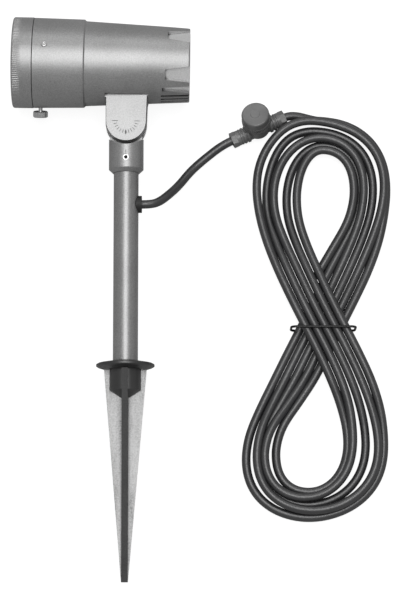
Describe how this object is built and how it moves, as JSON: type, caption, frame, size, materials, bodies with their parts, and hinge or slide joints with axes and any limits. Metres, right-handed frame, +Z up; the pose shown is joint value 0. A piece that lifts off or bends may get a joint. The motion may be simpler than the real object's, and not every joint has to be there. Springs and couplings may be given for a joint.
{
  "type": "garden spike spotlight",
  "caption": "Garden spike spotlight laid flat: tilting cylindrical head on a round post, crossed-blade ground spike, and a rubber cable with a connector, coiled in a tied figure of eight.",
  "frame": {"origin": "bottom centre of the lamp's bounding box as it lies on a flat surface, without its cable and what is on it", "axes": "+Y along the post from the spike's tip towards the head, +Z up from the surface it lies on, +X to the head's rear end and the cable"},
  "size_m": [0.3905, 0.5703, 0.0934],
  "materials": {
    "satin_alu": "fine-grained metallic grey coat",
    "screw_steel": "bright stainless steel",
    "nickel": "nickel plated",
    "lens": "clear toughened glass",
    "seal_rubber": "black silicone rubber",
    "cast_plate": "bare cast aluminium",
    "board_white": "white solder mask",
    "chip_yellow": "phosphor yellow",
    "reflector_chrome": "vacuum metallised",
    "driver_case": "black plastic case",
    "terminal_plastic": "white polyamide",
    "washer_plastic": "black acetal",
    "tube_alu": "fine-grained metallic grey coat",
    "cord_rubber": "matt black rubber",
    "flange_plastic": "dark grey moulding",
    "spike_zinc": "galvanised steel",
    "tee_plastic": "dark grey plastic",
    "tie_wire": "black plastic-covered wire"
  },
  "bodies": {
    "post": {"post_tube": "tube_alu", "cord_grommet": "seal_rubber", "post_lead": "cord_rubber", "ground_flange": "flange_plastic", "spike_blade": "spike_zinc", "spike_rib": "spike_zinc", "tee_body": "tee_plastic", "tee_seal": "seal_rubber", "gland_nuts": "tee_plastic", "gland_rings": "tee_plastic", "tee_terminals": "terminal_plastic", "lamp_cord": "cord_rubber", "supply_lead": "cord_rubber", "supply_hank": "cord_rubber", "hank_tie": "tie_wire", "cord_end_sleeve": "seal_rubber"},
    "knuckle": {"post_collar": "satin_alu", "collar_grubs": "screw_steel"},
    "head": {"head_housing": "satin_alu", "front_barrel": "satin_alu", "barrel_screws": "screw_steel", "housing_seal": "seal_rubber", "heat_plate": "cast_plate", "led_board": "board_white", "led_chips": "chip_yellow", "reflector": "reflector_chrome", "driver": "driver_case", "terminal_block": "terminal_plastic", "hinge_bolt": "screw_steel", "hinge_washers": "washer_plastic"},
    "lens_ring": {"front_ring": "satin_alu", "front_gasket": "seal_rubber", "front_glass": "lens"},
    "clamp_screw": {"thumbscrew": "nickel"},
    "connector_cap": {"tee_cap": "tee_plastic"}
  },
  "joints": [
    {"name": "post_swivel", "type": "hinge", "parent": "post", "child": "knuckle", "pos_m": [0.02539, 0.1384, 0.04046], "axis": [0, 0.9985, 0.0544], "range_deg": [-150, 150]},
    {"name": "head_tilt", "type": "hinge", "parent": "knuckle", "child": "head", "pos_m": [0.02539, 0.17605, 0.04251], "axis": [0, -0.0544, 0.9985], "range_deg": [-48, 75]},
    {"name": "ring_turn", "type": "hinge", "parent": "head", "child": "lens_ring", "pos_m": [-0.07351, 0.23999, 0.04599], "axis": [-0.9998, 0.0174, 0.0009], "continuous": true},
    {"name": "clamp_screw_turn", "type": "hinge", "parent": "head", "child": "clamp_screw", "pos_m": [-0.06257, 0.19176, 0.02607], "axis": [-0.0165, -0.9236, -0.3829], "continuous": true},
    {"name": "connector_cap_turn", "type": "hinge", "parent": "post", "child": "connector_cap", "pos_m": [0.15663, 0.18645, 0.02944], "axis": [-0.1212, 0.266, 0.9563], "continuous": true}
  ]
}
